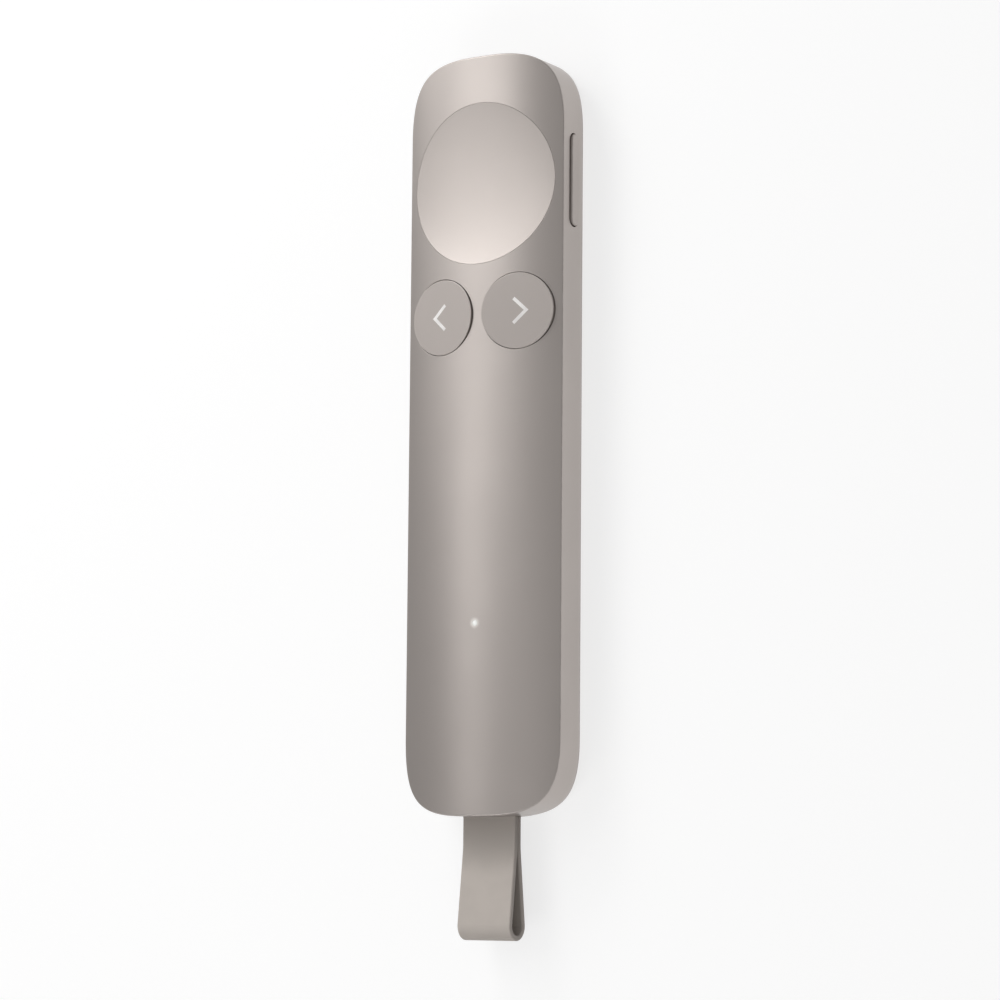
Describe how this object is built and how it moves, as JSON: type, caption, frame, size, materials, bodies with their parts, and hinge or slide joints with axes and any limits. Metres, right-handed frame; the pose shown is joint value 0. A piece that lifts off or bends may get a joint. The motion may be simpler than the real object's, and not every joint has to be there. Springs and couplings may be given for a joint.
{
  "type": "wireless presentation clicker",
  "caption": "Slim hand-held presentation clicker with a crowned front, a dished pointer button, back and next caps, a side key and a pull-out receiver on a strap loop.",
  "frame": {"origin": "centre of the flat back, which it lies on", "axes": "+Y along the housing towards the pointer button, +Z out of the front, +X towards the side key"},
  "size_m": [0.0314, 0.1518, 0.0117],
  "materials": {
    "housing_paint": "satin, very fine grain",
    "button_paint": "matt, very fine grain",
    "legend_white": "matt",
    "light_pipe": "clear, lit white",
    "led_body": "plain",
    "circuit_board": "solder mask",
    "screw_steel": "plain",
    "plug_steel": "satin",
    "dome_steel": "bright",
    "cell_pouch": "satin foil",
    "adhesive": "tacky",
    "connector_white": "plain",
    "lead_insulation": "plain",
    "chip_black": "moulded",
    "dark_plastic": "plain",
    "strap_rubber": "matt, soft"
  },
  "bodies": {
    "housing": {"front_shell": "housing_paint", "rear_cover": "housing_paint", "receiver_bay": "dark_plastic", "charge_port_shell": "plug_steel", "charge_port_tongue": "dark_plastic", "status_led": "led_body", "status_light_pipe": "light_pipe", "main_board": "circuit_board", "board_screws": "screw_steel", "battery": "cell_pouch", "battery_pad": "adhesive", "battery_connector": "connector_white", "battery_leads": "lead_insulation", "radio_chip": "chip_black", "motion_sensor": "chip_black", "charger_chip": "chip_black", "chip_antenna": "connector_white", "pointer_switch": "chip_black", "back_switch": "chip_black", "next_switch": "chip_black", "side_switch": "chip_black", "pointer_dome": "dome_steel", "back_dome": "dome_steel", "next_dome": "dome_steel", "side_dome": "dome_steel"},
    "pointer": {"pointer_button": "button_paint"},
    "back": {"back_button": "button_paint", "back_legend": "legend_white"},
    "next": {"next_button": "button_paint", "next_legend": "legend_white"},
    "side": {"side_key": "button_paint"},
    "receiver": {"receiver_body": "housing_paint", "receiver_nose": "dark_plastic", "receiver_plug_shell": "plug_steel", "receiver_plug_core": "dark_plastic", "receiver_board": "circuit_board", "receiver_chip": "chip_black", "strap_pin": "screw_steel", "strap_loop": "strap_rubber"}
  },
  "joints": [
    {"name": "pointer_press", "type": "slide", "parent": "housing", "child": "pointer", "axis": [0, 0, -1], "range_m": [0, 0.0003], "stiffness_N_per_m": 5000, "deforming": ["pointer_dome"]},
    {"name": "back_press", "type": "slide", "parent": "housing", "child": "back", "axis": [0, 0, -1], "range_m": [0, 0.0003], "stiffness_N_per_m": 5000, "deforming": ["back_dome"]},
    {"name": "next_press", "type": "slide", "parent": "housing", "child": "next", "axis": [0, 0, -1], "range_m": [0, 0.0003], "stiffness_N_per_m": 5000, "deforming": ["next_dome"]},
    {"name": "side_press", "type": "slide", "parent": "housing", "child": "side", "axis": [-1, 0, 0], "range_m": [0, 0.0003], "stiffness_N_per_m": 5000, "deforming": ["side_dome"]},
    {"name": "receiver_pull", "type": "slide", "parent": "housing", "child": "receiver", "axis": [0, -1, 0], "range_m": [0, 0.025]}
  ]
}
